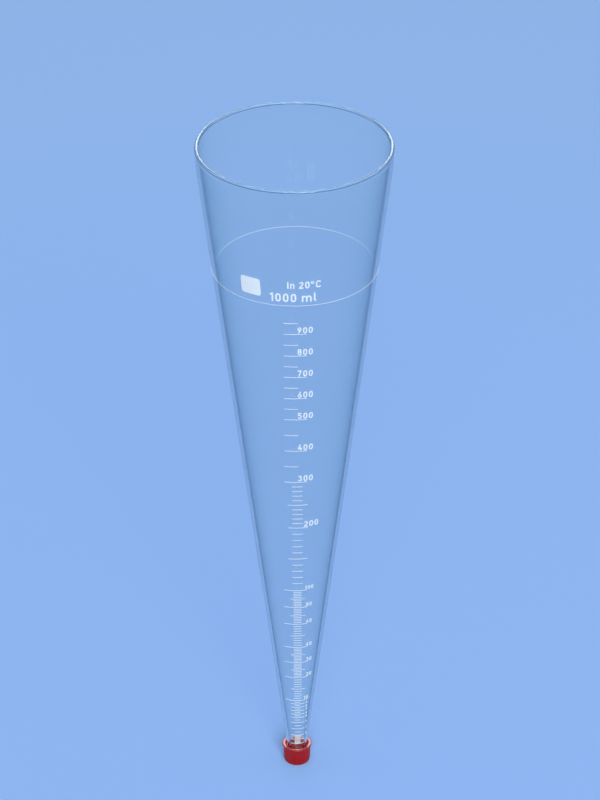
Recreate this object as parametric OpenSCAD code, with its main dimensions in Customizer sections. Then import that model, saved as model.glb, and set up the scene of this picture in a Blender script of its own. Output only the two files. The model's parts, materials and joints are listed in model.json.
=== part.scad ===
// Sedimentation cone of one litre, in clear glass, with a red screw cap on its outlet.
// Z is the axis, the flat foot of the cap lies on z = 0 and the printed scale faces -Y.
// Every size is in millimetres, and z heights are measured from the foot of the cap.

/* [Cone] */
// Height of the rim above the foot of the cap
rim_z = 454.5; // [445:0.5:465]
// Angle between the wall and the axis, in degrees
half_angle = 7.1; // [6.9:0.05:7.3]
// Height over which the wall turns upright below the rim
rim_turn_h = 18; // [8:1:24]
// Outer diameter where the cone runs into its neck
waist_d = 13.1; // [12.8:0.1:13.6]
// Thickness of the glass, measured level across the wall
wall = 2.1; // [1.7:0.1:2.2]
// Thickness of the fire-polished bead round the rim
bead_d = 2.6; // [2.4:0.1:3.2]

/* [Neck] */
// Diameter of the neck between the turns of its thread
neck_d = 12.2; // [11.8:0.1:12.4]
// Radius of the fire-polished edges at the tip of the neck
tip_edge_r = 0.6; // [0.3:0.1:0.7]

/* [Cap] */
// Height of the cap
cap_h = 13.1; // [12:0.1:14]
// Diameter of the cap over its grip ribs, just below the collar
grip_d = 17.7; // [17.4:0.1:18.1]
// Draft of the cap's side, by which it narrows towards the foot, in degrees
draft = 1.6; // [0.5:0.1:2]
// Diameter of the round collar at the mouth of the cap
collar_d = 19.3; // [18.8:0.1:20]
// Height of the collar
collar_h = 1.5; // [1.4:0.1:2]
// Thickness of the floor that the cone stands on
floor_t = 1.5; // [1.2:0.1:1.8]
// Number of grip ribs
rib_count = 36; // [24:2:40]
// Height by which a rib stands proud of the cap
rib_rise = 0.35; // [0.25:0.05:0.45]
// Bore of the cap, which clears the crests of the neck's thread
cap_bore_d = 14.3; // [14.2:0.1:14.4]

/* [Seal] */
// Diameter of the seal
seal_d = 13.8; // [13.4:0.1:13.9]
// Thickness of the silicone pad
pad_t = 1.7; // [1.4:0.1:1.9]
// Thickness of the hard facing that the neck presses on
facing_t = 0.3; // [0.2:0.05:0.4]

/* [Print] */
// Volume up to the line that runs all the way round, in millilitres
full_ml = 1000; // [960:5:1000]
// Width of a mark of the scale
line_w = 0.3; // [0.2:0.05:0.5]
// Width of the full line
full_line_w = 0.2; // [0.15:0.05:0.4]
// Thickness of the fired enamel
enamel_t = 0.15; // [0.1:0.05:0.2]
// Width of the writing patch
patch_w = 13.4; // [10:0.2:18]
// Height of the writing patch
patch_h = 12.2; // [10:0.2:16]
// Height of the patch's lower edge above the full line
patch_rise = 5; // [2:0.5:8]
// Turn of the patch's middle from the scale, in degrees towards -X
patch_turn = 30.5; // [25:0.5:45]

/* [Hidden] */
$fn = 96;

// The neck's tip rests on the seal, and the waist is level with the cap's mouth
tip_z = floor_t + pad_t + facing_t;
waist_z = cap_h;
bore_d = waist_d - 2 * wall;
slope = tan(half_angle);

// Rim: the wall turns upright on an arc from turn_z up to the middle of the bead
bead_z = rim_z - bead_d / 2;
turn_z = bead_z - rim_turn_h;
turn_r = rim_turn_h / sin(half_angle);
turn_steps = 6;
bead_r = cone_r(turn_z) + rim_turn_h * tan(half_angle / 2) - wall / 2;

// Cap: root of the ribs, collar's seat, rounding of its edges and pocket that holds the seal
collar_z = cap_h - collar_h;
grip_r = grip_d / 2 - rib_rise;
foot_r = grip_r - collar_z * tan(draft);
rib_r = 0.55;
rib_z = 0.9;
rib_taper_h = 0.8;
rib_root = 0.3;
foot_edge_r = 0.6;
collar_edge_r = 0.7;
mouth_bevel = 0.6;
pocket_d = seal_d + 0.2;
catch_d = seal_d - 0.4;
catch_gap = 0.15;
catch_h = 0.5;

// Reach of the marks left and right of the scale's meridian, along the glass
NUMBERED_UPPER = [-6.9, 7.1];
PLAIN_UPPER = [-6.9, 1.7];
NUMBERED_TENS = [-5.1, 7.4];
PLAIN_TENS = [-2.3, 4.2];
NUMBERED_LOWER = [-7.8, 6.8];
FIFTHS_LOWER = [-3.7, 5.8];
PLAIN_LOWER = [-1.8, 3.4];
NUMBERED_TIP = [-3.8, 5];
PLAIN_TIP = [-1.4, 2.4];

// The print is spaced evenly between these [millilitres, height] pairs of a cone whose
// full line is at print_ring_z, as on the real screen print, and is scaled to this cone
print_ring_z = 372.6;
print_steps = [[1, 17], [2, 24.5], [3, 30], [4, 35.5], [5, 40], [10, 54.8], [20, 74.7],
    [40, 100.6], [60, 120.3], [100, 148.5], [110, 154.4], [200, 200], [300, 236.8],
    [500, 286], [950, 359.4]];
patch_corner_r = 1.8;
patch_shell_margin = 3;

// Outer radius of the cone at a height
function cone_r(z) = waist_d / 2 + (z - waist_z) * slope;

// Height up to which the hollow holds a volume: the neck's bore first, then the cone
function fill_z(ml) = let(
    r0 = bore_d / 2,
    in_cone = ml * 1000 - PI * r0 * r0 * (waist_z - tip_z),
    r1 = pow(3 * slope * in_cone / PI + pow(r0, 3), 1 / 3)
) waist_z + (r1 - r0) / slope;

full_z = fill_z(full_ml);

// Height of a printed mark
function mark_z(ml) = waist_z + (lookup(ml, print_steps) - waist_z)
    * (full_z - waist_z) / (print_ring_z - waist_z);

// Points of an arc from angle a0 to a1 round a centre
function arc(centre, r, a0, a1, steps = 5) = [for (i = [0 : steps])
    let(a = a0 + (a1 - a0) * i / steps) centre + r * [cos(a), sin(a)]];

// Wall below the rim, turning from the slope of the cone to upright, from a0 to a1 degrees
function rim_turn(outer_r, a0, a1) = arc([outer_r - turn_r, bead_z], turn_r, a0, a1, turn_steps);

// Wall of the cone and its neck, with a bead at the rim and soft edges at the tip
module glass_profile() {
    neck_r = neck_d / 2;
    bore_r = bore_d / 2;
    shoulder = waist_d / 2 - neck_r;
    polygon(concat(
        arc([neck_r - tip_edge_r, tip_z + tip_edge_r], tip_edge_r, -90, 0),
        [[neck_r, waist_z - shoulder], [waist_d / 2, waist_z]],
        rim_turn(bead_r + wall / 2, -half_angle, 0),
        rim_turn(bead_r - wall / 2, 0, -half_angle),
        [[bore_r, waist_z]],
        arc([bore_r + tip_edge_r, tip_z + tip_edge_r], tip_edge_r, 180, 270)
    ));
    translate([bead_r, bead_z]) circle(d = bead_d, $fn = 24);
}

module glass_cone() {
    color([0.78, 0.88, 0.95, 0.35]) rotate_extrude() glass_profile();
}

// Cup of the cap: flat foot, drafted side, round collar, bore, catch and pocket for the seal
module cap_profile() {
    collar_r = collar_d / 2;
    bore_r = cap_bore_d / 2;
    catch_z = tip_z + catch_gap;
    polygon(concat(
        [[0, 0]],
        arc([foot_r - foot_edge_r, foot_edge_r], foot_edge_r, -90, 0),
        [[grip_r, collar_z]],
        arc([collar_r - collar_edge_r, collar_z + collar_edge_r], collar_edge_r, -90, 0),
        arc([collar_r - collar_edge_r, cap_h - collar_edge_r], collar_edge_r, 0, 90),
        [[bore_r + mouth_bevel, cap_h], [bore_r, cap_h - mouth_bevel]],
        [[bore_r, catch_z + 2 * catch_h], [catch_d / 2, catch_z + catch_h]],
        [[catch_d / 2, catch_z], [pocket_d / 2, catch_z], [pocket_d / 2, floor_t], [0, floor_t]]
    ));
}

// One grip rib, which leans with the draft, tapers out near the foot and ends in the collar
module grip_rib() {
    translate([foot_r + rib_rise - rib_r, 0, 0]) rotate([0, draft, 0]) translate([0, 0, rib_z]) {
        cylinder(r1 = rib_r - rib_rise, r2 = rib_r, h = rib_taper_h, $fn = 16);
        translate([0, 0, rib_taper_h])
            cylinder(r = rib_r, h = collar_z + rib_root - rib_z - rib_taper_h, $fn = 16);
    }
}

module screw_cap() {
    color([0.70, 0.06, 0.08]) {
        rotate_extrude() cap_profile();
        for (i = [0 : rib_count - 1]) rotate([0, 0, i * 360 / rib_count]) grip_rib();
    }
}

module seal_pad() {
    color([0.82, 0.30, 0.26]) translate([0, 0, floor_t]) cylinder(d = seal_d, h = pad_t);
}

module ptfe_face() {
    color([0.95, 0.95, 0.93])
        translate([0, 0, floor_t + pad_t]) cylinder(d = seal_d, h = facing_t);
}

// Section of enamel that lies on the cone between two heights
module enamel_section(z0, z1) {
    polygon([[cone_r(z0), z0], [cone_r(z0) + enamel_t, z0], [cone_r(z1) + enamel_t, z1],
        [cone_r(z1), z1]]);
}

// One printed mark, which reaches from reach[0] to reach[1] along the glass
module mark(ml, reach) {
    z = mark_z(ml);
    turn = reach * 180 / PI / cone_r(z);
    rotate([0, 0, turn[0] - 90])
        rotate_extrude(angle = turn[1] - turn[0])
            enamel_section(z - line_w / 2, z + line_w / 2);
}

module enamel() {
    color("white") children();
}

module volume_ring() {
    enamel() rotate_extrude()
        enamel_section(full_z - full_line_w / 2, full_z + full_line_w / 2);
}

// Rounded patch that takes a pencil note, cut from a band of enamel round the cone
module marking_patch() {
    z0 = full_z + patch_rise;
    z1 = z0 + patch_h;
    half_turn = (patch_w / 2 + patch_shell_margin) * 180 / PI / cone_r(z0);
    enamel() intersection() {
        rotate([0, 0, -90 - patch_turn - half_turn])
            rotate_extrude(angle = 2 * half_turn) enamel_section(z0, z1);
        rotate([0, 0, -patch_turn]) translate([0, 0, z0]) rotate([90, 0, 0])
            linear_extrude(2 * bead_r) patch_outline();
    }
}

module patch_outline() {
    r = patch_corner_r;
    translate([-patch_w / 2, 0]) {
        translate([r, 0]) square([patch_w - 2 * r, patch_h]);
        translate([0, r]) square([patch_w, patch_h - 2 * r]);
        for (x = [r, patch_w - r], y = [r, patch_h - r]) translate([x, y]) circle(r, $fn = 32);
    }
}

module scale_by_50_ml() {
    enamel() for (ml = [300 : 50 : 950])
        mark(ml, ml % 100 == 0 ? NUMBERED_UPPER : PLAIN_UPPER);
}

module scale_by_10_ml() {
    enamel() for (ml = [110 : 10 : 290])
        mark(ml, ml % 50 == 0 ? NUMBERED_TENS : PLAIN_TENS);
}

module scale_by_2_ml() {
    enamel() for (ml = [42 : 2 : 100])
        mark(ml, ml % 20 == 0 ? NUMBERED_LOWER : ml % 10 == 0 ? FIFTHS_LOWER : PLAIN_LOWER);
}

module scale_by_1_ml() {
    enamel() for (ml = [10 : 40])
        mark(ml, ml % 10 == 0 ? NUMBERED_LOWER : ml % 5 == 0 ? FIFTHS_LOWER : PLAIN_LOWER);
}

module scale_by_half_ml() {
    enamel() for (halves = [4 : 19])
        mark(halves / 2, halves % 2 == 0 ? NUMBERED_TIP : PLAIN_TIP);
}

module scale_by_tenth_ml() {
    enamel() for (tenths = [10 : 19])
        mark(tenths / 10, tenths % 5 == 0 ? NUMBERED_TIP : PLAIN_TIP);
}

glass_cone();
screw_cap();
seal_pad();
ptfe_face();
volume_ring();
marking_patch();
scale_by_50_ml();
scale_by_10_ml();
scale_by_2_ml();
scale_by_1_ml();
scale_by_half_ml();
scale_by_tenth_ml();
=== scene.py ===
"""Dresses a packed one litre sedimentation cone: blown glass with its screw thread, a moulded red
cap with its seal, and white enamel fired on the glass with its numbers and words."""

import json
import math

import bmesh
import bpy
from mathutils import Matrix, Vector
from mathutils.geometry import delaunay_2d_cdt


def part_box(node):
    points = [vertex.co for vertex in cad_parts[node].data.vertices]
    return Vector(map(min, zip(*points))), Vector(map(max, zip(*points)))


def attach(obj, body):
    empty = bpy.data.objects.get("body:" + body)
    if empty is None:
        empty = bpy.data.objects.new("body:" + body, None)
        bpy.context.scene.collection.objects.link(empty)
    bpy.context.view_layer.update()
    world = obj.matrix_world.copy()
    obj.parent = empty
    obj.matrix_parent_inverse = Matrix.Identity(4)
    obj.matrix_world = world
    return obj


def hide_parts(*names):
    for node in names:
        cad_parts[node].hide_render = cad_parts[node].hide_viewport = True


bl_info = {
    "name": "Sedimentation Cone",
    "version": (1, 0, 0),
    "blender": (4, 5, 0),
    "location": "View3D > Sidebar > Cone",
    "description": "Dresses a packed one litre sedimentation cone and stands it in a plain studio",
    "category": "Object",
}

MM = 0.001
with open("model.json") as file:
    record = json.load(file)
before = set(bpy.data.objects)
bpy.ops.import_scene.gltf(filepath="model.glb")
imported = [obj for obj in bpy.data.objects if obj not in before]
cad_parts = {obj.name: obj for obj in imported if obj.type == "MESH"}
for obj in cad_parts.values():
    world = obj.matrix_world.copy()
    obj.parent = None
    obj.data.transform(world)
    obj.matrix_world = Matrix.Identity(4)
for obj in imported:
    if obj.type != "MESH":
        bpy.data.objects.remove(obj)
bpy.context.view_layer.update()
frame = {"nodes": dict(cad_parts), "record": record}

# Places that the frame gives, in metres
GLASS_LOW, GLASS_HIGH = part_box("glass_cone")
MOUTH_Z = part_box("screw_cap")[1].z
FULL_Z = sum(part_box("volume_ring"), Vector()).z / 2
MOUNTS = {mount["name"]: mount for mount in frame["record"]["mounts"]}
OUTLET_R = MOUNTS["outlet_bore"]["dims"]["r_mm"] * MM
LIFT_PER_RADIAN = frame["record"]["behaviour"]["couplings"][0]["ratio"]
THREAD_PITCH = 2 * math.pi * LIFT_PER_RADIAN

# First volume and step of the marks in each node of the scale, in millilitres
SCALE = {
    "scale_by_tenth_ml": (1, 0.1),
    "scale_by_half_ml": (2, 0.5),
    "scale_by_1_ml": (10, 1),
    "scale_by_2_ml": (42, 2),
    "scale_by_10_ml": (110, 10),
    "scale_by_50_ml": (300, 50),
}
PRINT_NODES = ("volume_ring", "marking_patch", *SCALE)

# Index of refraction of borosilicate glass
GLASS_IOR = 1.473
# Shares of light mirrored by the inner skin at which its painted edge shade starts, deepens and is
# full
EDGE_SHADE_STOPS = (0.045, 0.2, 0.36)
# Depths below the top of the rim at which the painted shade of its lower edge ends and the painted
# glow of its crest is full
SHADED_EDGE_DEPTH = 1.1 * MM
GLOWING_CREST_DEPTH = 0.6 * MM
# A ray with more reflections than this goes straight on through the glass
MOST_REFLECTIONS = 2.5
# Number of surfaces up to which a ray's way through the glass is short
SHORT_WAY = 3.0
# Distances from the cone between which the floor fades into the background, and the floor's
# radius, in metres
FLOOR_FADE = (0.4, 1.4)
FLOOR_RADIUS = 12


def linear(hex_code):
    """An sRGB hex colour such as "#98BAE8" as linear red, green and blue."""
    channels = (int(hex_code[i : i + 2], 16) / 255 for i in (1, 3, 5))
    return tuple(c / 12.92 if c <= 0.04045 else ((c + 0.055) / 1.055) ** 2.4 for c in channels)


class ConeSizes(bpy.types.PropertyGroup):
    """Sizes of the blown glass."""

    wall: bpy.props.FloatProperty(
        name="Wall",
        description="Thickness of the glass, measured level across the wall",
        default=2.1 * MM,
        unit="LENGTH",
    )
    half_angle: bpy.props.FloatProperty(
        name="Half Angle",
        description="Angle between the wall and the axis",
        default=math.radians(7.1),
        subtype="ANGLE",
    )
    rim_turn: bpy.props.FloatProperty(
        name="Rim Turn",
        description="Height over which the wall turns upright below the rim",
        default=18 * MM,
        unit="LENGTH",
    )
    bead: bpy.props.FloatProperty(
        name="Bead",
        description="Thickness of the fire-polished bead round the rim",
        default=2.6 * MM,
        unit="LENGTH",
    )
    bead_swell: bpy.props.FloatProperty(
        name="Bead Swell",
        description="Height over which the wall swells into the bead",
        default=2.5 * MM,
        unit="LENGTH",
    )
    neck_radius: bpy.props.FloatProperty(
        name="Neck Radius",
        description="Radius of the neck between the turns of its thread",
        default=6.1 * MM,
        unit="LENGTH",
    )
    tip_edge: bpy.props.FloatProperty(
        name="Tip Edge",
        description="Radius of the fire-polished edges at the tip of the neck",
        default=0.6 * MM,
        unit="LENGTH",
    )
    segments: bpy.props.IntProperty(
        name="Segments",
        description="Number of faces round the glass",
        default=288,
        min=48,
    )


class ThreadSizes(bpy.types.PropertyGroup):
    """Sizes of the screw thread on the neck and in the cap."""

    neck_crest: bpy.props.FloatProperty(
        name="Neck Crest Radius",
        description="Outer radius of the glass thread",
        default=6.95 * MM,
        unit="LENGTH",
    )
    cap_crest: bpy.props.FloatProperty(
        name="Cap Crest Radius",
        description="Inner radius of the thread in the cap",
        default=6.35 * MM,
        unit="LENGTH",
    )
    cap_bore: bpy.props.FloatProperty(
        name="Cap Bore Radius",
        description="Radius of the cap's bore between the turns of its thread",
        default=7.15 * MM,
        unit="LENGTH",
    )
    ridge: bpy.props.FloatProperty(
        name="Ridge Width",
        description="Width of the thread's ridge at its root",
        default=1.7 * MM,
        unit="LENGTH",
    )
    first_turn: bpy.props.FloatProperty(
        name="First Turn",
        description="Height of the thread's start above the tip of the neck",
        default=1.6 * MM,
        unit="LENGTH",
    )
    turns: bpy.props.FloatProperty(
        name="Turns",
        description="Number of turns of the thread",
        default=2.6,
    )


class PrintSizes(bpy.types.PropertyGroup):
    """Sizes of the numbers and words."""

    thickness: bpy.props.FloatProperty(
        name="Thickness",
        description="Height of the enamel above the glass",
        default=0.15 * MM,
        unit="LENGTH",
    )
    sink: bpy.props.FloatProperty(
        name="Sink",
        description="Depth to which the enamel melts into the glass",
        default=0.03 * MM,
        unit="LENGTH",
    )
    litre_height: bpy.props.FloatProperty(
        name="Litre Height",
        description="Height of the words above the full line",
        default=6.1 * MM,
        unit="LENGTH",
    )
    temperature_height: bpy.props.FloatProperty(
        name="Temperature Height",
        description="Height of the words for the temperature",
        default=5 * MM,
        unit="LENGTH",
    )
    hundreds_height: bpy.props.FloatProperty(
        name="Hundreds Height",
        description="Height of the numbers from 200 up",
        default=4.5 * MM,
        unit="LENGTH",
    )
    tens_height: bpy.props.FloatProperty(
        name="Tens Height",
        description="Height of the numbers from 10 to 100",
        default=3 * MM,
        unit="LENGTH",
    )
    units_height: bpy.props.FloatProperty(
        name="Units Height",
        description="Height of the numbers below 10",
        default=1.7 * MM,
        unit="LENGTH",
    )


class FinishColours(bpy.types.PropertyGroup):
    """Colours of the finishes and the studio, and the painted light and shade of the glass."""

    glass_body: bpy.props.FloatVectorProperty(
        name="Glass Body",
        description="Colour of the glass where the eye looks straight through it",
        subtype="COLOR",
        default=linear("#FCFEFD"),
        min=0,
        max=1,
    )
    # Painted edge shade: the pale teal that the inner skin takes on as the eye nears grazing the
    # wall
    painted_edge_shade: bpy.props.FloatVectorProperty(
        name="Glass Edge",
        description="Colour of the glass where the eye looks along its wall",
        subtype="COLOR",
        default=linear("#C0DCDF"),
        min=0,
        max=1,
    )
    # Painted shade: the dark line at the inner side of the wall and at the bead's lower edge,
    # standing in for dark surroundings seen in the glass
    painted_line_shade: bpy.props.FloatVectorProperty(
        name="Glass Line",
        description="Colour of the dark line where the eye grazes the inner side of the wall",
        subtype="COLOR",
        default=linear("#1F5C84"),
        min=0,
        max=1,
    )
    # Painted glow: the pale, milky colour of the bead's crest, which stands in for light that
    # comes out at the rim
    painted_rim_glow: bpy.props.FloatVectorProperty(
        name="Bead Glow",
        description="Colour of the light that comes out at the rim",
        subtype="COLOR",
        default=linear("#BFE4FF"),
        min=0,
        max=1,
    )
    cap_red: bpy.props.FloatVectorProperty(
        name="Cap Red",
        description="Colour of the moulded cap",
        subtype="COLOR",
        default=linear("#B0150B"),
        min=0,
        max=1,
    )
    seal_red: bpy.props.FloatVectorProperty(
        name="Seal Red",
        description="Colour of the silicone pad",
        subtype="COLOR",
        default=linear("#B4574C"),
        min=0,
        max=1,
    )
    facing_white: bpy.props.FloatVectorProperty(
        name="Facing White",
        description="Colour of the facing on the pad",
        subtype="COLOR",
        default=linear("#ECEBE6"),
        min=0,
        max=1,
    )
    enamel_white: bpy.props.FloatVectorProperty(
        name="Enamel White",
        description="Colour of the fired print",
        subtype="COLOR",
        default=linear("#F2FBFA"),
        min=0,
        max=1,
    )
    paper_blue: bpy.props.FloatVectorProperty(
        name="Paper Blue",
        description="Colour of the floor and of what lies behind it",
        subtype="COLOR",
        default=linear("#8DB2E6"),
        min=0,
        max=1,
    )
    # Painted reflection: deep blue that the floor and background show only to rays that came
    # through glass with a reflection
    painted_reflection_blue: bpy.props.FloatVectorProperty(
        name="Side Blue",
        description="Colour of the studio's sides, which only show as reflections in the glass",
        subtype="COLOR",
        default=linear("#2B6490"),
        min=0,
        max=1,
    )


class StageSettings(bpy.types.PropertyGroup):
    """Camera and light of the studio."""

    lens: bpy.props.FloatProperty(
        name="Lens",
        description="Focal length of the camera in millimetres",
        default=177.3,
    )
    stand: bpy.props.FloatVectorProperty(
        name="Camera Stand",
        description="Place of the camera",
        subtype="TRANSLATION",
        unit="LENGTH",
        default=(0.00283, -2.1172, 1.5376),
    )
    pitch: bpy.props.FloatProperty(
        name="Pitch",
        description="Angle by which the camera looks down",
        default=math.radians(30.794),
        subtype="ANGLE",
    )
    roll: bpy.props.FloatProperty(
        name="Roll",
        description="Turn of the camera about its own axis",
        default=math.radians(-0.204),
        subtype="ANGLE",
    )
    fill: bpy.props.FloatProperty(
        name="Fill",
        description="Strength of the even light from all round",
        default=0.25,
        min=0,
    )


def add(tree, kind, inputs=None, stops=(), **settings):
    """A new node of that kind. Each of its inputs is given a value or linked to a socket."""
    made = tree.nodes.new(kind)
    for name, value in settings.items():
        setattr(made, name, value)
    for name, value in (inputs or {}).items():
        socket = made.inputs[name]
        if isinstance(value, bpy.types.NodeSocket):
            tree.links.new(value, socket)
        elif socket.type == "RGBA" and len(value) == 3:
            socket.default_value = (*value, 1)
        else:
            socket.default_value = value
    for index, (position, colour) in enumerate(stops):
        elements = made.color_ramp.elements
        stop = elements[index] if index < len(elements) else elements.new(position)
        stop.position = position
        stop.color = (*colour, 1)
    return made


def new_material(name):
    """A material with an empty node tree, and that tree."""
    material = bpy.data.materials.new(name)
    material.use_nodes = True
    material.node_tree.nodes.clear()
    return material, material.node_tree


def borosilicate_glass(colours):
    """The outer skin of blown borosilicate glass. It is flame-polished, clear and colourless, and
    has the slow waves of blowing."""
    material, tree = new_material("borosilicate_glass_flame_polished")
    glass_skin(tree, tuple(colours.glass_body))
    return material


def inner_glass(colours):
    """The inner skin of the same glass. It is as clear where the eye looks straight through it.
    From within the wall its colour carries painted shade: it turns deep blue where the eye looks
    along it, standing in for the dark surroundings seen at the glass's edges, which draws the
    wall's thickness."""
    material, tree = new_material("borosilicate_glass_inner_skin")
    fresnel = add(tree, "ShaderNodeFresnel", {"IOR": GLASS_IOR})
    side = add(tree, "ShaderNodeNewGeometry")
    grazing = add(
        tree,
        "ShaderNodeMath",
        {0: fresnel.outputs["Fac"], 1: side.outputs["Backfacing"]},
        operation="MULTIPLY",
    )
    # Painted shade: the glass's colour darkens to deep blue as the eye grazes the wall from within
    inner_shade = add(
        tree,
        "ShaderNodeValToRGB",
        {"Fac": grazing.outputs[0]},
        stops=[
            (EDGE_SHADE_STOPS[0], tuple(colours.glass_body)),
            (EDGE_SHADE_STOPS[1], tuple(colours.painted_edge_shade)),
            (EDGE_SHADE_STOPS[2], tuple(colours.painted_line_shade)),
        ],
    )
    glass_skin(tree, inner_shade.outputs["Color"])
    return material


def bead_glass(colours):
    """The fire-polished bead round the rim. Its colour is painted light and shade by height: its
    crest is a painted glow, pale and a little milky, standing in for light that runs up inside the
    wall and comes out there, over a painted dark lower edge."""
    material, tree = new_material("borosilicate_glass_fire_polished_bead")
    place = add(tree, "ShaderNodeTexCoord")
    height = add(tree, "ShaderNodeSeparateXYZ", {"Vector": place.outputs["Object"]})
    crest = add(
        tree,
        "ShaderNodeMapRange",
        {
            "Value": height.outputs["Z"],
            "From Min": GLASS_HIGH.z - SHADED_EDGE_DEPTH,
            "From Max": GLASS_HIGH.z - GLOWING_CREST_DEPTH,
        },
    )
    # Painted light and shade: dark at the bead's lower edge, pale and glowing at its crest
    glow = add(
        tree,
        "ShaderNodeValToRGB",
        {"Fac": crest.outputs["Result"]},
        stops=[(0.0, tuple(colours.painted_line_shade)), (1.0, tuple(colours.painted_rim_glow))],
    )
    glass_skin(tree, glow.outputs["Color"], clearness=0.7)
    return material


def glass_skin(tree, colour, clearness=1.0):
    """Nodes of glass that lets the lamps' light through, so that its shadow stays pale. Light
    that is caught inside the wall goes straight on after a few reflections."""
    place = add(tree, "ShaderNodeTexCoord")
    wave = add(
        tree,
        "ShaderNodeTexNoise",
        {"Vector": place.outputs["Object"], "Scale": 1 / (26 * MM), "Detail": 1.0},
    )
    ripple = add(
        tree,
        "ShaderNodeBump",
        {"Height": wave.outputs["Fac"], "Strength": 0.25, "Distance": 0.06 * MM},
    )
    body = add(
        tree,
        "ShaderNodeBsdfPrincipled",
        {
            "Base Color": colour,
            "Normal": ripple.outputs["Normal"],
            "Roughness": 0.0,
            "IOR": GLASS_IOR,
            "Transmission Weight": clearness,
        },
    )
    shade = add(tree, "ShaderNodeBsdfTransparent", {"Color": (0.93, 0.96, 0.98)})
    path = add(tree, "ShaderNodeLightPath")
    lamp_ray = add(
        tree,
        "ShaderNodeMath",
        {0: path.outputs["Is Shadow Ray"], 1: path.outputs["Is Diffuse Ray"]},
        operation="MAXIMUM",
    )
    caught = add(
        tree,
        "ShaderNodeMath",
        {0: path.outputs["Glossy Depth"], 1: MOST_REFLECTIONS},
        operation="GREATER_THAN",
    )
    straight = add(
        tree,
        "ShaderNodeMath",
        {0: lamp_ray.outputs[0], 1: caught.outputs[0]},
        operation="MAXIMUM",
    )
    surface = add(
        tree,
        "ShaderNodeMixShader",
        {0: straight.outputs[0], 1: body.outputs[0], 2: shade.outputs[0]},
    )
    add(tree, "ShaderNodeOutputMaterial", {"Surface": surface.outputs[0]})


def moulded_polyester(colours):
    """Red polyester (PBT), injection moulded in a polished tool. It is glossy and saturated, with
    the fine orange peel and the slight cloudiness of the flowing melt."""
    material, tree = new_material("pbt_moulded_red")
    place = add(tree, "ShaderNodeTexCoord")
    cloud = add(
        tree,
        "ShaderNodeTexNoise",
        {"Vector": place.outputs["Object"], "Scale": 1 / (5 * MM), "Detail": 3.0},
    )
    red = Vector(colours.cap_red)
    colour = add(
        tree,
        "ShaderNodeValToRGB",
        {"Fac": cloud.outputs["Fac"]},
        stops=[(0.35, tuple(red * 0.86)), (0.65, tuple(red))],
    )
    peel = add(
        tree,
        "ShaderNodeTexNoise",
        {"Vector": place.outputs["Object"], "Scale": 1 / (0.5 * MM), "Detail": 2.0},
    )
    gloss = add(
        tree,
        "ShaderNodeMapRange",
        {"Value": cloud.outputs["Fac"], "To Min": 0.14, "To Max": 0.24},
    )
    skin = add(
        tree,
        "ShaderNodeBump",
        {"Height": peel.outputs["Fac"], "Strength": 0.35, "Distance": 0.02 * MM},
    )
    body = add(
        tree,
        "ShaderNodeBsdfPrincipled",
        {
            "Base Color": colour.outputs["Color"],
            "Roughness": gloss.outputs["Result"],
            "Normal": skin.outputs["Normal"],
            "IOR": 1.55,
            "Subsurface Weight": 0.12,
            "Subsurface Radius": (1.0, 0.2, 0.1),
            "Subsurface Scale": 1.0 * MM,
        },
    )
    add(tree, "ShaderNodeOutputMaterial", {"Surface": body.outputs[0]})
    return material


def moulded_silicone(colours):
    """Silicone rubber, moulded in sheet and punched. It is matte and soft, and holds fine dust."""
    material, tree = new_material("silicone_punched_red")
    place = add(tree, "ShaderNodeTexCoord")
    dust = add(
        tree,
        "ShaderNodeTexNoise",
        {"Vector": place.outputs["Object"], "Scale": 1 / (0.6 * MM), "Detail": 4.0},
    )
    red = Vector(colours.seal_red)
    colour = add(
        tree,
        "ShaderNodeValToRGB",
        {"Fac": dust.outputs["Fac"]},
        stops=[(0.4, tuple(red)), (0.75, tuple(red * 1.15))],
    )
    grain = add(
        tree,
        "ShaderNodeBump",
        {"Height": dust.outputs["Fac"], "Strength": 0.4, "Distance": 0.03 * MM},
    )
    body = add(
        tree,
        "ShaderNodeBsdfPrincipled",
        {
            "Base Color": colour.outputs["Color"],
            "Roughness": 0.62,
            "Normal": grain.outputs["Normal"],
            "IOR": 1.41,
            "Subsurface Weight": 0.2,
            "Subsurface Scale": 1.5 * MM,
        },
    )
    add(tree, "ShaderNodeOutputMaterial", {"Surface": body.outputs[0]})
    return material


def skived_fluoropolymer(colours):
    """PTFE film, skived from a billet. It is waxy white, with the fine lines of the blade."""
    material, tree = new_material("ptfe_skived_white")
    place = add(tree, "ShaderNodeTexCoord")
    blade = add(
        tree,
        "ShaderNodeTexWave",
        {
            "Vector": place.outputs["Object"],
            "Scale": 1 / (1.2 * MM),
            "Distortion": 1.5,
            "Detail": 3.0,
        },
    )
    white = Vector(colours.facing_white)
    colour = add(
        tree,
        "ShaderNodeValToRGB",
        {"Fac": blade.outputs["Fac"]},
        stops=[(0.0, tuple(white * 0.94)), (1.0, tuple(white))],
    )
    lines = add(
        tree,
        "ShaderNodeBump",
        {"Height": blade.outputs["Fac"], "Strength": 0.3, "Distance": 0.01 * MM},
    )
    body = add(
        tree,
        "ShaderNodeBsdfPrincipled",
        {
            "Base Color": colour.outputs["Color"],
            "Roughness": 0.45,
            "Normal": lines.outputs["Normal"],
            "IOR": 1.36,
            "Subsurface Weight": 0.3,
            "Subsurface Scale": 1.0 * MM,
        },
    )
    add(tree, "ShaderNodeOutputMaterial", {"Surface": body.outputs[0]})
    return material


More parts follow.
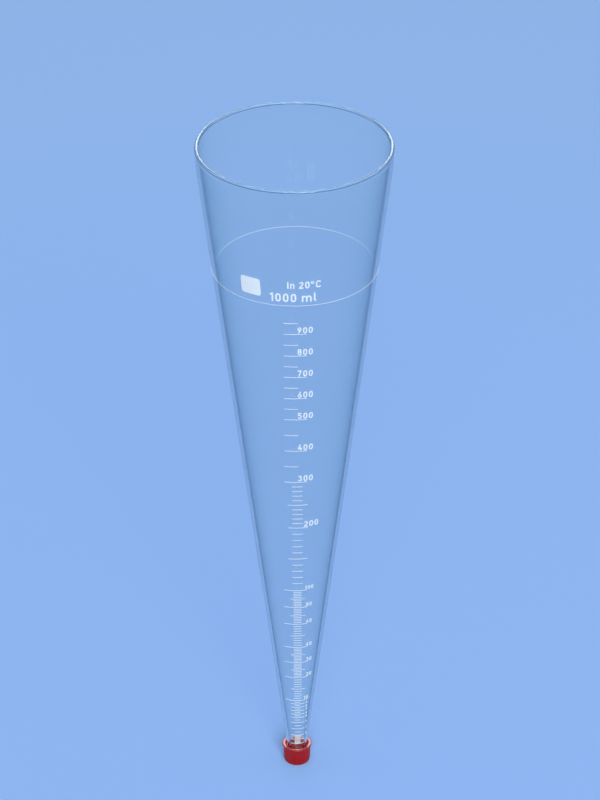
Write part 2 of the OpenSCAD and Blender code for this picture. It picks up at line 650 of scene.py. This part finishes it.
def fired_enamel(colours):
    """White glass enamel, screen-printed and fired on. It is dense and satin, and keeps a trace
    of the screen's mesh, which is drawn at 0.25 mm because the real 0.1 mm is too fine to show."""
    material, tree = new_material("enamel_fired_white")
    place = add(tree, "ShaderNodeTexCoord")
    mesh = add(
        tree,
        "ShaderNodeTexVoronoi",
        {"Vector": place.outputs["Object"], "Scale": 1 / (0.25 * MM)},
    )
    cloud = add(
        tree,
        "ShaderNodeTexNoise",
        {"Vector": place.outputs["Object"], "Scale": 1 / (2.5 * MM), "Detail": 2.0},
    )
    white = Vector(colours.enamel_white)
    colour = add(
        tree,
        "ShaderNodeValToRGB",
        {"Fac": cloud.outputs["Fac"]},
        stops=[(0.3, tuple(white * 0.95)), (0.7, tuple(white))],
    )
    dots = add(
        tree,
        "ShaderNodeBump",
        {"Height": mesh.outputs["Distance"], "Strength": 0.3, "Distance": 0.02 * MM},
    )
    body = add(
        tree,
        "ShaderNodeBsdfPrincipled",
        {
            "Base Color": colour.outputs["Color"],
            "Roughness": 0.38,
            "Normal": dots.outputs["Normal"],
            "IOR": 1.52,
        },
    )
    add(tree, "ShaderNodeOutputMaterial", {"Surface": body.outputs[0]})
    return material


def studio_paper(colours):
    """Pale blue paper, rolled out as the studio's floor. It is matte near the cone, where it takes
    the cone's shadow, and fades into the even colour of the background further out."""
    material, tree = new_material("paper_rolled_blue")
    # The floor's blue, with a painted reflection of deep blue for rays that came through glass
    # with a reflection
    blue = blue_with_painted_edge_shade(tree, colours)
    place = add(tree, "ShaderNodeTexCoord")
    distance = add(
        tree,
        "ShaderNodeVectorMath",
        {0: place.outputs["Object"]},
        operation="LENGTH",
    )
    far = add(
        tree,
        "ShaderNodeMapRange",
        {
            "Value": distance.outputs["Value"],
            "From Min": FLOOR_FADE[0],
            "From Max": FLOOR_FADE[1],
        },
        interpolation_type="SMOOTHSTEP",
    )
    paper = add(tree, "ShaderNodeBsdfDiffuse", {"Color": blue, "Roughness": 1.0})
    glow = add(tree, "ShaderNodeEmission", {"Color": blue, "Strength": 1.0})
    seen = seen_rays(tree)
    share = add(
        tree,
        "ShaderNodeMath",
        {0: far.outputs["Result"], 1: seen},
        operation="MULTIPLY",
    )
    surface = add(
        tree,
        "ShaderNodeMixShader",
        {0: share.outputs[0], 1: paper.outputs[0], 2: glow.outputs[0]},
    )
    add(tree, "ShaderNodeOutputMaterial", {"Surface": surface.outputs[0]})
    return material


def blue_with_painted_edge_shade(tree, colours):
    """A socket with the colour of the floor and background. Rays that come to it after a longer
    way through glass, with a reflection among it, get a painted reflection of deep blue, as of
    dark studio sides that aren't there, which draws the edges of the glass as painted shade."""
    path = add(tree, "ShaderNodeLightPath")
    longer = add(
        tree,
        "ShaderNodeMath",
        {0: path.outputs["Ray Depth"], 1: SHORT_WAY},
        operation="SUBTRACT",
    )
    mirrored = add(
        tree,
        "ShaderNodeMath",
        {0: path.outputs["Glossy Depth"], 1: longer.outputs[0]},
        operation="MINIMUM",
    )
    # Painted reflection: deep blue for rays that came through glass with a reflection, which
    # darkens the glass's edges
    shade = add(
        tree,
        "ShaderNodeValToRGB",
        {"Fac": mirrored.outputs[0]},
        stops=[(0.0, tuple(colours.paper_blue)), (1.0, tuple(colours.painted_reflection_blue))],
    )
    return shade.outputs["Color"]


def seen_rays(tree):
    """A socket that is 1 for rays of the camera, of reflections and through glass."""
    path = add(tree, "ShaderNodeLightPath")
    mirrored = add(
        tree,
        "ShaderNodeMath",
        {0: path.outputs["Is Glossy Ray"], 1: path.outputs["Is Transmission Ray"]},
        operation="MAXIMUM",
    )
    seen = add(
        tree,
        "ShaderNodeMath",
        {0: path.outputs["Is Camera Ray"], 1: mirrored.outputs[0]},
        operation="MAXIMUM",
    )
    return seen.outputs[0]


def finish_node(name, material):
    """Gives a CAD node its finish."""
    slots = frame["nodes"][name].data.materials
    slots.clear()
    slots.append(material)


def add_piece(name, points, faces, material, body):
    """A smooth mesh piece that rides on a body and takes its finish from one of the slots."""
    mesh = bpy.data.meshes.new(name)
    mesh.from_pydata(points, [], faces)
    mesh.materials.append(material)
    mesh.shade_smooth()
    piece = bpy.data.objects.new(name, mesh)
    bpy.context.scene.collection.objects.link(piece)
    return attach(piece, body)


def smoothstep(x):
    """0 below 0, 1 above 1 and an even rise between."""
    x = min(max(x, 0), 1)
    return x * x * (3 - 2 * x)


def steps(start, end, count):
    """Evenly spaced values from start to end, with both."""
    return [start + (end - start) * i / count for i in range(count + 1)]


def arc(centre_x, centre_y, radius_x, radius_y, start, end, count):
    """Points of an elliptical arc between two angles in degrees."""
    return [
        (centre_x + radius_x * math.cos(a), centre_y + radius_y * math.sin(a))
        for a in steps(math.radians(start), math.radians(end), count)
    ]


# Steps of the glass's outline along each of its stretches, from the cone to its edges
CONE_STEPS = 48
TURN_STEPS = 24
BEAD_STEPS = 24
NECK_STEPS = 90
BORE_STEPS = 8
EDGE_STEPS = 6
# The skin below the rim stands this much over the frame's glass, so that the print melts into it
SKIN = 0.03 * MM
# Each thread rises to its full height over one turn divided by this, at either end
NECK_RUN_OUT = 6
CAP_RUN_OUT = 5
# Steps of the cap's ridge across and along it, and how far its root is sunk in the bore
RIDGE_ACROSS = 8
RIDGE_ALONG = 260
RIDGE_SINK = 0.12 * MM


class GlassForm:
    """Radii of the glass at each height, from the frame and the cone's sizes."""

    def __init__(self, sizes):
        self.sizes = sizes
        self.slope = math.tan(sizes.half_angle)
        self.waist_r = OUTLET_R + sizes.wall
        self.bead_r = GLASS_HIGH.x - sizes.bead / 2
        self.bead_z = GLASS_HIGH.z - sizes.bead / 2
        self.turn_z = self.bead_z - sizes.rim_turn
        self.turn_r = sizes.rim_turn / math.sin(sizes.half_angle)

    def outer_r(self, z):
        """Outer radius at a height above the waist."""
        if z <= self.turn_z:
            return self.waist_r + (z - MOUTH_Z) * self.slope
        fall = self.bead_z - z
        middle = self.bead_r + self.sizes.wall / 2 - self.turn_r
        return middle + math.sqrt(self.turn_r**2 - fall**2)

    def skin(self, z):
        """How far the skin stands over the frame's glass, which fades out towards the rim."""
        return SKIN * (1 - smoothstep((z - self.turn_z) / self.sizes.rim_turn))

    def swell(self, z):
        """How far each side of the wall stands out as it nears the bead."""
        share = smoothstep((z - self.bead_z) / self.sizes.bead_swell + 1)
        return (self.sizes.bead - self.sizes.wall) / 2 * share


def neck_rise(threads, z, turn):
    """Share of its full height that the glass thread has at a height and an angle in radians."""
    start = GLASS_LOW.z + threads.first_turn
    along = (z - start) / THREAD_PITCH - turn / (2 * math.pi)
    from_ridge = (along - round(along)) * THREAD_PITCH
    if abs(from_ridge) >= threads.ridge / 2:
        return 0.0
    turns = (z - from_ridge - start) / THREAD_PITCH
    fade = smoothstep(turns * NECK_RUN_OUT)
    fade *= smoothstep((threads.turns - turns) * NECK_RUN_OUT)
    return fade * math.cos(math.pi * from_ridge / threads.ridge) ** 2


def glass_rings(form, sizes):
    """The glass's outline as radius and height pairs, up the outside and down the inside."""
    neck, edge, tip_z = sizes.neck_radius, sizes.tip_edge, GLASS_LOW.z
    shoulder = form.waist_r - neck
    heights = steps(MOUTH_Z, form.turn_z, CONE_STEPS)[1:]
    heights += steps(form.turn_z, form.bead_z, TURN_STEPS)[1:]
    outside = arc(neck - edge, tip_z + edge, edge, edge, -90, 0, EDGE_STEPS)
    outside += [(neck, z) for z in steps(tip_z + edge, MOUTH_Z - shoulder, NECK_STEPS)[1:]]
    outside += [
        (neck + shoulder * smoothstep(t), MOUTH_Z - shoulder + shoulder * t)
        for t in steps(0, 1, EDGE_STEPS)[1:]
    ]
    outside += [(form.outer_r(z) + form.skin(z) + form.swell(z), z) for z in heights]
    half_bead = sizes.bead / 2
    bead = arc(form.bead_r, form.bead_z, half_bead, half_bead, 0, 180, BEAD_STEPS)[1:-1]
    inside = [(form.outer_r(z) - sizes.wall - form.swell(z), z) for z in reversed(heights)]
    inside += [(OUTLET_R, z) for z in steps(MOUTH_Z, tip_z + edge, BORE_STEPS)]
    inside += arc(OUTLET_R + edge, tip_z + edge, edge, edge, 180, 270, EDGE_STEPS)[1:]
    return outside, bead + inside


class CONE_OT_blow_glass(bpy.types.Operator):
    """Blow the glass: cone, rim, neck and the thread on the neck"""

    bl_idname = "cone.blow_glass"
    bl_label = "Blow Glass"

    def execute(self, context):
        sizes, threads = context.scene.cone_sizes, context.scene.thread_sizes
        form = GlassForm(sizes)
        outside, inside = glass_rings(form, sizes)
        crest = threads.neck_crest - sizes.neck_radius
        points = []
        turns = [2 * math.pi * i / sizes.segments for i in range(sizes.segments)]
        for index, (radius, z) in enumerate(outside + inside):
            on_neck = index < len(outside) and z < MOUTH_Z
            for turn in turns:
                rise = crest * neck_rise(threads, z, turn) if on_neck else 0
                reach = radius + rise
                points.append((reach * math.cos(turn), reach * math.sin(turn), z))
        faces = ring_faces(len(outside) + len(inside), sizes.segments)
        colours = context.scene.finish_colours
        glass = borosilicate_glass(colours)
        piece = add_piece("blown_glass", points, faces, glass, "cone")
        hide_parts("glass_cone")
        piece.data.materials.append(bead_glass(colours))
        piece.data.materials.append(inner_glass(colours))
        bead_start = (len(outside) - 1) * sizes.segments
        bead_end = (len(outside) + BEAD_STEPS - 1) * sizes.segments
        for face in piece.data.polygons:
            low = min(face.vertices)
            face.material_index = int(low >= bead_start) + int(low >= bead_end)
        return {"FINISHED"}


def ring_faces(rings, segments):
    """Four-sided faces between rings of points, and from the last ring round to the first."""
    faces = []
    for ring in range(rings):
        below = ring * segments
        above = (ring + 1) % rings * segments
        for i in range(segments):
            after = (i + 1) % segments
            faces.append((below + i, below + after, above + after, above + i))
    return faces


def ridge_tube(threads, start_z):
    """Points and faces of the ridge that winds up inside the cap, sunk a little in its bore."""
    points, faces = [], []
    sunk = threads.cap_bore + RIDGE_SINK
    rise = threads.cap_crest - sunk
    for t in steps(0, threads.turns, RIDGE_ALONG):
        fade = smoothstep(t * CAP_RUN_OUT) * smoothstep((threads.turns - t) * CAP_RUN_OUT)
        turn = 2 * math.pi * t
        for offset in steps(-0.5, 0.5, RIDGE_ACROSS):
            reach = sunk + rise * fade * math.cos(math.pi * offset) ** 2
            z = start_z + t * THREAD_PITCH + offset * threads.ridge
            points.append((reach * math.cos(turn), reach * math.sin(turn), z))
    row = RIDGE_ACROSS + 1
    for start in range(0, RIDGE_ALONG * row, row):
        for a in range(start, start + RIDGE_ACROSS):
            faces.append((a, a + row, a + row + 1, a + 1))
        end = start + RIDGE_ACROSS
        faces.append((start, end, end + row, start + row))
    return points, faces


class CONE_OT_mould_cap(bpy.types.Operator):
    """Mould the cap: its finish, and the thread inside it"""

    bl_idname = "cone.mould_cap"
    bl_label = "Mould Cap"

    def execute(self, context):
        threads = context.scene.thread_sizes
        red = moulded_polyester(context.scene.finish_colours)
        finish_node("screw_cap", red)
        start_z = GLASS_LOW.z + threads.first_turn + THREAD_PITCH / 2
        points, faces = ridge_tube(threads, start_z)
        add_piece("cap_thread", points, faces, red, "cap")
        return {"FINISHED"}


class CONE_OT_cut_seal(bpy.types.Operator):
    """Cut the seal: the silicone pad and its hard facing"""

    bl_idname = "cone.cut_seal"
    bl_label = "Cut Seal"

    def execute(self, context):
        colours = context.scene.finish_colours
        finish_node("seal_pad", moulded_silicone(colours))
        finish_node("ptfe_face", skived_fluoropolymer(colours))
        return {"FINISHED"}


# Lettering, drawn as strokes in a cell one unit high
STROKE = 0.165
HALF = STROKE / 2
DIGIT_W = 0.55
X_HEIGHT = 0.74
SIDE = DIGIT_W - HALF
MIDDLE = DIGIT_W / 2
ROUND = MIDDLE - HALF
TOP = 1 - HALF


def arch(left, right):
    """Right-hand side of an n or m: over from the left stem and down to the line."""
    radius = (right - left) / 2
    return arc(left + radius, X_HEIGHT - HALF - radius, radius, radius, 180, 0, 10) + [(right, 0)]


def bowl(centre_y, radius_y, radius_x=ROUND):
    """A closed round of a digit."""
    return arc(MIDDLE, centre_y, radius_x, radius_y, 90, 450, 28)


LOW_BOWL = HALF + 0.215
HIGH_BOWL = TOP - 0.19
SIX = [bowl(LOW_BOWL, 0.215), [(0.42, 1.0), (0.27, 0.73), (0.115, 0.40)]]
# Width of each sign, and its strokes; a stroke that ends where it starts is closed
SIGNS = {
    "0": (
        DIGIT_W,
        [
            arc(MIDDLE, TOP - 0.24, ROUND, 0.24, 0, 180, 14)
            + arc(MIDDLE, HALF + 0.24, ROUND, 0.24, 180, 360, 14)
            + [(SIDE, TOP - 0.24)]
        ],
    ),
    "1": (0.36, [[(0.36 - HALF, 0), (0.36 - HALF, 1)], [(0.03, 0.77), (0.36 - HALF, TOP)]]),
    "2": (
        DIGIT_W,
        [
            arc(MIDDLE, TOP - ROUND, ROUND, ROUND, 172, -28, 14) + [(0.09, HALF)],
            [(0.0, HALF), (DIGIT_W, HALF)],
        ],
    ),
    "3": (
        DIGIT_W,
        [
            arc(MIDDLE - 0.02, HIGH_BOWL, 0.18, 0.19, 160, -90, 14),
            arc(MIDDLE - 0.02, LOW_BOWL + 0.02, ROUND + 0.01, 0.235, 90, -160, 16),
        ],
    ),
    "4": (DIGIT_W, [[(0.33, 1.0), (0.07, 0.27), (DIGIT_W, 0.27)], [(0.4, 0.5), (0.4, 0)]]),
    "5": (
        DIGIT_W,
        [
            [(SIDE + 0.04, TOP), (HALF + 0.03, TOP), (HALF + 0.01, 0.45)],
            arc(MIDDLE - 0.01, LOW_BOWL + 0.035, ROUND, 0.25, 140, -155, 16),
        ],
    ),
    "6": (DIGIT_W, SIX),
    "7": (DIGIT_W, [[(0, TOP), (SIDE, TOP), (0.17, 0)]]),
    "8": (DIGIT_W, [bowl(HIGH_BOWL, 0.19, 0.175), bowl(LOW_BOWL + 0.02, 0.235)]),
    "9": (DIGIT_W, [[(DIGIT_W - x, 1 - y) for x, y in stroke] for stroke in SIX]),
    "I": (STROKE, [[(HALF, 0), (HALF, 1)]]),
    "n": (0.52, [[(HALF, 0), (HALF, X_HEIGHT)], arch(HALF, 0.52 - HALF)]),
    "m": (0.98, [[(HALF, 0), (HALF, X_HEIGHT)], arch(HALF, 0.49), arch(0.49, 0.98 - HALF)]),
    "l": (0.34, [[(HALF, 1)] + arc(HALF + 0.2, 0.28, 0.2, 0.2, 180, 262, 8)]),
    "°": (0.38, [arc(0.16, 0.82, 0.145, 0.145, 90, 450, 20)]),
    "C": (
        0.66,
        [
            arc(0.35, 0.67, 0.27, 0.25, 30, 180, 12)
            + arc(0.35, 0.33, 0.27, 0.25, 180, 330, 12)
        ],
    ),
}
# Half the stroke of a sign that is drawn thinner than the others
THIN = {"°": 0.055}
# Usual gap between two signs, and width of a space
SIGN_GAP = 0.21
SPACE = 0.33
# A mitre reaches out no further than half the stroke divided by this
MITRE = 0.55

# Each piece of numbers: the property with its height, and rows of volumes, with how far right of
# the scale's middle their numbers start and how far above their marks they stand, in millimetres
NUMBERS = {
    "numbers_200_to_900": (
        "hundreds_height",
        [((200,), 5, 0.8), (range(300, 1000, 100), 1.4, 0.8)],
    ),
    "numbers_10_to_100": (
        "tens_height",
        [((20, 30, 40, 60, 80), 6.2, 0.4), ((100,), 5.6, 0.6), ((10,), 4.4, 0.2)],
    ),
    "numbers_1_to_9": ("units_height", [(range(1, 10), 6, -0.6)]),
}
# Each piece of words: its text, the property with its height, how far right of the scale's middle
# it starts and how far above the full line it stands, in millimetres, and the gap between signs
WORDS = {
    "words_litre": ("1000 ml", "litre_height", -15.3, 2.9, SIGN_GAP),
    "words_temperature": ("In 20°C", "temperature_height", -4.6, 12.75, 0.19),
}


def ribbon(stroke, half):
    """Left and right edges of a stroke of half that width, mitred at its corners."""
    closed = (Vector(stroke[0]) - Vector(stroke[-1])).length < 1e-6
    line = [Vector(p) for p in (stroke[:-1] if closed else stroke)]
    count = len(line)
    left, right = [], []
    for i, point in enumerate(line):
        before = line[i - 1] if i or closed else None
        after = line[(i + 1) % count] if i + 1 < count or closed else None
        normals = [
            (b - a).orthogonal().normalized()
            for a, b in ((before, point), (point, after))
            if a is not None and b is not None
        ]
        across = sum(normals, Vector((0, 0)))
        across = across.normalized() * half / max(across.length / len(normals), MITRE)
        left.append(point + across)
        right.append(point - across)
    if closed:
        left.append(left[0])
        right.append(right[0])
    return left, right


def sign_shape(strokes, half):
    """Points and triangles of a sign, with its overlapping strokes joined into one flat shape."""
    points, quads = [], []
    for stroke in strokes:
        left, right = ribbon(stroke, half)
        for i in range(len(left) - 1):
            first = len(points)
            points += [right[i], right[i + 1], left[i + 1], left[i]]
            quads.append([first, first + 1, first + 2, first + 3])
    # 1 asks for the triangles inside the quads, which are joined where they are closer than 1e-5
    flat, _, triangles, _, _, sources = delaunay_2d_cdt(points, [], quads, 1, 1e-5, True)
    return flat, [triangle for triangle, source in zip(triangles, sources) if source]


def outline_edges(triangles):
    """Edges that only one triangle has, in that triangle's direction."""
    edges = {(face[i - 1], face[i]) for face in triangles for i in range(len(face))}
    return [edge for edge in edges if (edge[1], edge[0]) not in edges]


class Print:
    """Collects signs as thin enamel on the cone."""

    def __init__(self, form, sizes):
        self.form, self.sizes = form, sizes
        self.points, self.faces = [], []

    def write(self, text, left, line_z, height, gap):
        """Adds a text whose left end and base line are at these places on the glass."""
        x = left
        for character in text:
            if character == " ":
                x += SPACE * height
                continue
            width, strokes = SIGNS[character]
            shape = sign_shape(strokes, THIN.get(character, HALF))
            self.lay(*shape, x, line_z, height)
            x += (width + gap) * height

    def lay(self, flat, triangles, left, line_z, height):
        """Wraps a flat shape round the cone as a slab of enamel."""
        first, count = len(self.points), len(flat)
        line_r = self.form.outer_r(line_z)
        climb = height * math.cos(self.form.sizes.half_angle)
        for lift in (-self.sizes.sink, self.sizes.thickness):
            for x, y in flat:
                z = line_z + y * climb
                turn = (left + x * height) / line_r
                reach = self.form.outer_r(z) + lift
                self.points.append((reach * math.sin(turn), -reach * math.cos(turn), z))
        for a, b, c in triangles:
            self.faces.append((first + count + a, first + count + b, first + count + c))
            self.faces.append((first + c, first + b, first + a))
        for a, b in outline_edges(triangles):
            self.faces.append((first + a, first + b, first + count + b, first + count + a))


def mark_heights():
    """Height of each mark of the scale by its volume, read from the frame's own marks, whose
    lower and upper edges are told apart to 0.01 mm."""
    heights = {}
    for name, (first, step) in SCALE.items():
        levels = sorted({round(v.co.z, 5) for v in frame["nodes"][name].data.vertices})
        pairs = zip(levels[::2], levels[1::2], strict=True)
        for index, (low, high) in enumerate(pairs):
            heights[round(first + index * step, 1)] = (low + high) / 2
    return heights


def shared_enamel(context):
    """The one fired enamel of the whole print."""
    made = bpy.data.materials.get("enamel_fired_white")
    return made or fired_enamel(context.scene.finish_colours)


def fire_print(context, name, lines, gap=SIGN_GAP):
    """A piece of enamel with texts, each given with its left end, base line and height."""
    form = GlassForm(context.scene.cone_sizes)
    enamel = Print(form, context.scene.print_sizes)
    for text, left, line_z, height in lines:
        enamel.write(text, left, line_z, height, gap)
    white = shared_enamel(context)
    piece = add_piece(name, enamel.points, enamel.faces, white, "cone")
    piece.data.shade_flat()


class CONE_OT_fire_scale(bpy.types.Operator):
    """Fire the scale: the finish of the full line, the note patch and all marks"""

    bl_idname = "cone.fire_scale"
    bl_label = "Fire Scale"

    def execute(self, context):
        white = shared_enamel(context)
        for name in PRINT_NODES:
            finish_node(name, white)
        return {"FINISHED"}


class CONE_OT_fire_numbers(bpy.types.Operator):
    """Fire the numbers beside the marks"""

    bl_idname = "cone.fire_numbers"
    bl_label = "Fire Numbers"

    def execute(self, context):
        marks = mark_heights()
        for name, (height_name, rows) in NUMBERS.items():
            height = getattr(context.scene.print_sizes, height_name)
            lines = [
                (f"{ml}", right * MM, marks[ml] + above * MM, height)
                for volumes, right, above in rows
                for ml in volumes
            ]
            fire_print(context, name, lines)
        return {"FINISHED"}


class CONE_OT_fire_words(bpy.types.Operator):
    """Fire the words for the volume and the temperature"""

    bl_idname = "cone.fire_words"
    bl_label = "Fire Words"

    def execute(self, context):
        for name, (words, height_name, right, above, gap) in WORDS.items():
            height = getattr(context.scene.print_sizes, height_name)
            fire_print(context, name, [(words, right * MM, FULL_Z + above * MM, height)], gap)
        return {"FINISHED"}


# Place, aim, width and height in metres, and power in watts of each lamp
LAMPS = {
    "back_softbox": ((0, 1.75, 1.3), (0, 0, 0.1), 1.3, 0.6, 14),
    "top_softbox": ((0, 0.1, 2.3), (0, 0, 0.1), 1.2, 1.0, 8),
    "front_softbox": ((0.4, -3.6, 2.2), (0, 0, 0.3), 2.4, 1.8, 140),
    "left_strip": ((-1.5, 0.3, 1.0), (0, 0, 0.35), 0.3, 1.0, 2),
    "right_strip": ((1.5, 0.3, 1.0), (0, 0, 0.35), 0.3, 1.0, 2),
}


def add_lamp(name, place, aim, width, height, power):
    """A soft rectangular lamp that shines from a place towards an aim and isn't seen itself."""
    data = bpy.data.lights.new(name, "AREA")
    data.shape = "RECTANGLE"
    data.size, data.size_y = width, height
    data.energy = power
    lamp = bpy.data.objects.new(name, data)
    lamp.location = place
    lamp.rotation_mode = "QUATERNION"
    lamp.rotation_quaternion = (Vector(aim) - Vector(place)).to_track_quat("-Z", "Y")
    lamp.visible_camera = False
    bpy.context.scene.collection.objects.link(lamp)


class CONE_OT_set_stage(bpy.types.Operator):
    """Set the stage: camera, floor, background and lamps"""

    bl_idname = "cone.set_stage"
    bl_label = "Set Stage"

    def execute(self, context):
        scene, stage = context.scene, context.scene.stage_settings
        scene.view_settings.view_transform = "Standard"
        self.add_camera(scene, stage)
        self.add_floor(scene)
        self.add_world(scene, stage)
        for name, lamp in LAMPS.items():
            add_lamp(name, *lamp)
        return {"FINISHED"}

    def add_camera(self, scene, stage):
        """The camera, at the photograph's own angle."""
        data = bpy.data.cameras.new("camera")
        data.lens = stage.lens
        camera = bpy.data.objects.new("camera", data)
        tilt = Matrix.Rotation(math.pi / 2 - stage.pitch, 4, "X")
        roll = Matrix.Rotation(stage.roll, 4, "Z")
        camera.matrix_world = Matrix.Translation(stage.stand) @ tilt @ roll
        scene.collection.objects.link(camera)
        scene.camera = camera

    def add_floor(self, scene):
        """The round floor, level with the foot of the cap."""
        mesh = bpy.data.meshes.new("floor")
        shape = bmesh.new()
        bmesh.ops.create_circle(shape, cap_ends=True, segments=128, radius=FLOOR_RADIUS)
        shape.to_mesh(mesh)
        shape.free()
        mesh.materials.append(studio_paper(scene.finish_colours))
        floor = bpy.data.objects.new("floor", mesh)
        scene.collection.objects.link(floor)

    def add_world(self, scene, stage):
        """Even light from all round, and the floor's own colour wherever the world is seen, with a
        painted reflection of deep blue for rays that came through glass with a reflection.
        """
        world = bpy.data.worlds.new("studio")
        world.use_nodes = True
        tree = world.node_tree
        tree.nodes.clear()
        light = add(
            tree, "ShaderNodeBackground", {"Color": (1.0, 1.0, 1.0), "Strength": stage.fill}
        )
        blue = blue_with_painted_edge_shade(tree, scene.finish_colours)
        behind = add(tree, "ShaderNodeBackground", {"Color": blue, "Strength": 1.0})
        shown = add(
            tree,
            "ShaderNodeMixShader",
            {0: seen_rays(tree), 1: light.outputs[0], 2: behind.outputs[0]},
        )
        add(tree, "ShaderNodeOutputWorld", {"Surface": shown.outputs[0]})
        scene.world = world


class CONE_PT_panel(bpy.types.Panel):
    """Lists the steps that dress the cone"""

    bl_idname = "CONE_PT_panel"
    bl_label = "Sedimentation Cone"
    bl_space_type = "VIEW_3D"
    bl_region_type = "UI"
    bl_category = "Cone"

    def draw(self, context):
        for operator in OPERATORS:
            self.layout.operator(operator.bl_idname)
        for group in GROUPS:
            box = self.layout.box()
            values = getattr(context.scene, group)
            for name in values.__annotations__:
                box.prop(values, name)


GROUPS = {
    "cone_sizes": ConeSizes,
    "thread_sizes": ThreadSizes,
    "print_sizes": PrintSizes,
    "finish_colours": FinishColours,
    "stage_settings": StageSettings,
}
OPERATORS = (
    CONE_OT_set_stage,
    CONE_OT_blow_glass,
    CONE_OT_mould_cap,
    CONE_OT_cut_seal,
    CONE_OT_fire_scale,
    CONE_OT_fire_numbers,
    CONE_OT_fire_words,
)


def register():
    """Registers the classes and puts the settings on the scene."""
    for item in (*GROUPS.values(), *OPERATORS, CONE_PT_panel):
        bpy.utils.register_class(item)
    for name, group in GROUPS.items():
        setattr(bpy.types.Scene, name, bpy.props.PointerProperty(type=group))


def unregister():
    """Takes the settings off the scene and unregisters the classes."""
    for name in GROUPS:
        delattr(bpy.types.Scene, name)
    for item in (CONE_PT_panel, *reversed(OPERATORS), *reversed(GROUPS.values())):
        bpy.utils.unregister_class(item)


def main():
    register()
    bpy.ops.cone.set_stage()
    bpy.ops.cone.blow_glass()
    bpy.ops.cone.mould_cap()
    bpy.ops.cone.cut_seal()
    bpy.ops.cone.fire_scale()
    bpy.ops.cone.fire_numbers()
    bpy.ops.cone.fire_words()


if __name__ == "__main__":
    main()
